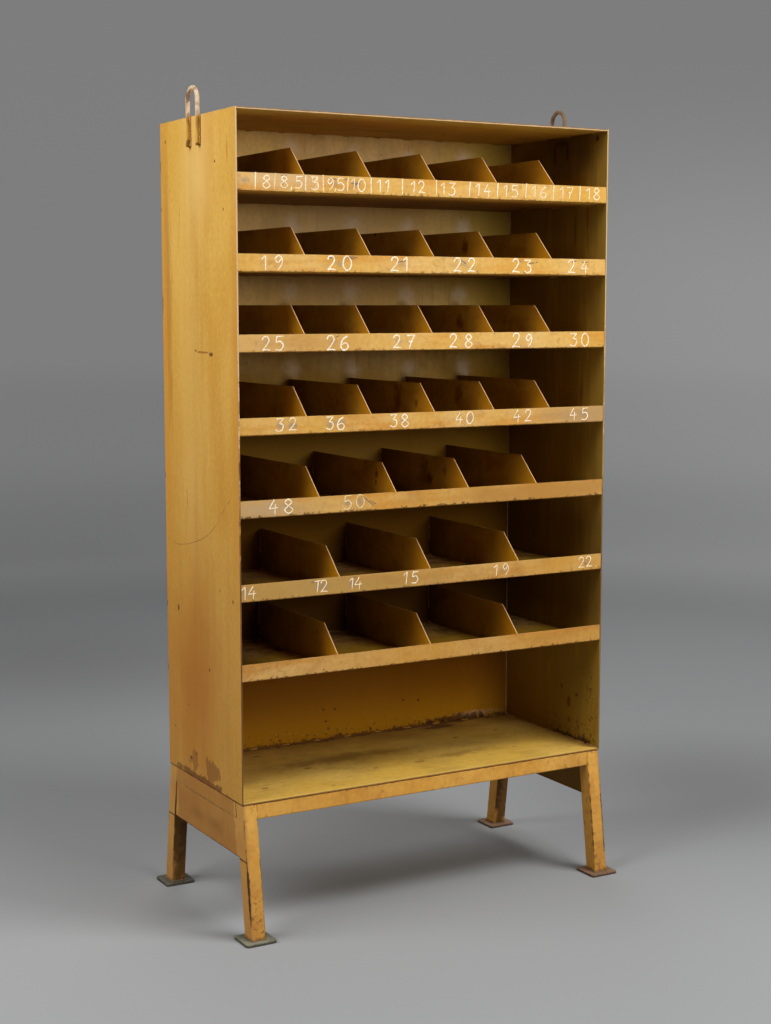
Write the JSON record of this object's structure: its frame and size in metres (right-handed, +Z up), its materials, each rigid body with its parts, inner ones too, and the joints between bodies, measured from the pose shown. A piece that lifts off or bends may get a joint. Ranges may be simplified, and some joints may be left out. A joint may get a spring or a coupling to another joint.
{
  "type": "pigeonhole rack",
  "caption": "Floor-standing rack of welded sheet steel: a tall open-front cabinet with lipped shelves and low dividers on a splayed tube stand, with a lifting loop on each side.",
  "frame": {"origin": "on the floor, under the middle of the cabinet's width and depth", "axes": "+X to the right along the width as seen from the open front, +Y from the open front to the back, +Z up"},
  "size_m": [1.037, 0.5442, 1.931],
  "materials": {
    "side_panel_paint": "worn ochre paint, streaked and scratched",
    "top_panel_paint": "worn ochre paint with dust and rust specks",
    "back_panel_paint": "dull ochre paint with dust, stains and drips",
    "bottom_shelf_paint": "greenish ochre paint, dusty and scuffed",
    "tray_paint": "warm ochre paint, worn pale along the lip",
    "divider_paint": "brown-ochre paint with pale worn edges",
    "stand_paint": "worn ochre paint with rust speckles and chipped edges",
    "loop_paint": "thin pale beige paint with rust",
    "foot_plate_steel": "bare steel, dull grey-brown with dark edges"
  },
  "bodies": {
    "root": {"left_side_panel": "side_panel_paint", "right_side_panel": "side_panel_paint", "top_panel": "top_panel_paint", "back_panel": "back_panel_paint", "bottom_shelf": "bottom_shelf_paint", "tray_1": "tray_paint", "tray_2": "tray_paint", "tray_3": "tray_paint", "tray_4": "tray_paint", "tray_5": "tray_paint", "tray_6": "tray_paint", "tray_7": "tray_paint", "divider_1_1": "divider_paint", "divider_1_2": "divider_paint", "divider_1_3": "divider_paint", "divider_1_4": "divider_paint", "divider_1_5": "divider_paint", "divider_2_1": "divider_paint", "divider_2_2": "divider_paint", "divider_2_3": "divider_paint", "divider_2_4": "divider_paint", "divider_2_5": "divider_paint", "divider_3_1": "divider_paint", "divider_3_2": "divider_paint", "divider_3_3": "divider_paint", "divider_3_4": "divider_paint", "divider_3_5": "divider_paint", "divider_4_1": "divider_paint", "divider_4_2": "divider_paint", "divider_4_3": "divider_paint", "divider_4_4": "divider_paint", "divider_4_5": "divider_paint", "divider_5_1": "divider_paint", "divider_5_2": "divider_paint", "divider_5_3": "divider_paint", "divider_5_4": "divider_paint", "divider_6_1": "divider_paint", "divider_6_2": "divider_paint", "divider_6_3": "divider_paint", "divider_7_1": "divider_paint", "divider_7_2": "divider_paint", "divider_7_3": "divider_paint", "front_left_leg": "stand_paint", "front_right_leg": "stand_paint", "rear_left_leg": "stand_paint", "rear_right_leg": "stand_paint", "front_left_foot_plate": "foot_plate_steel", "front_right_foot_plate": "foot_plate_steel", "rear_left_foot_plate": "foot_plate_steel", "rear_right_foot_plate": "foot_plate_steel", "front_rail": "stand_paint", "rear_rail": "stand_paint", "left_side_rail": "stand_paint", "right_side_rail": "stand_paint", "left_apron": "stand_paint", "right_apron": "stand_paint", "left_lifting_loop": "loop_paint", "right_lifting_loop": "loop_paint"}
  },
  "joints": []
}
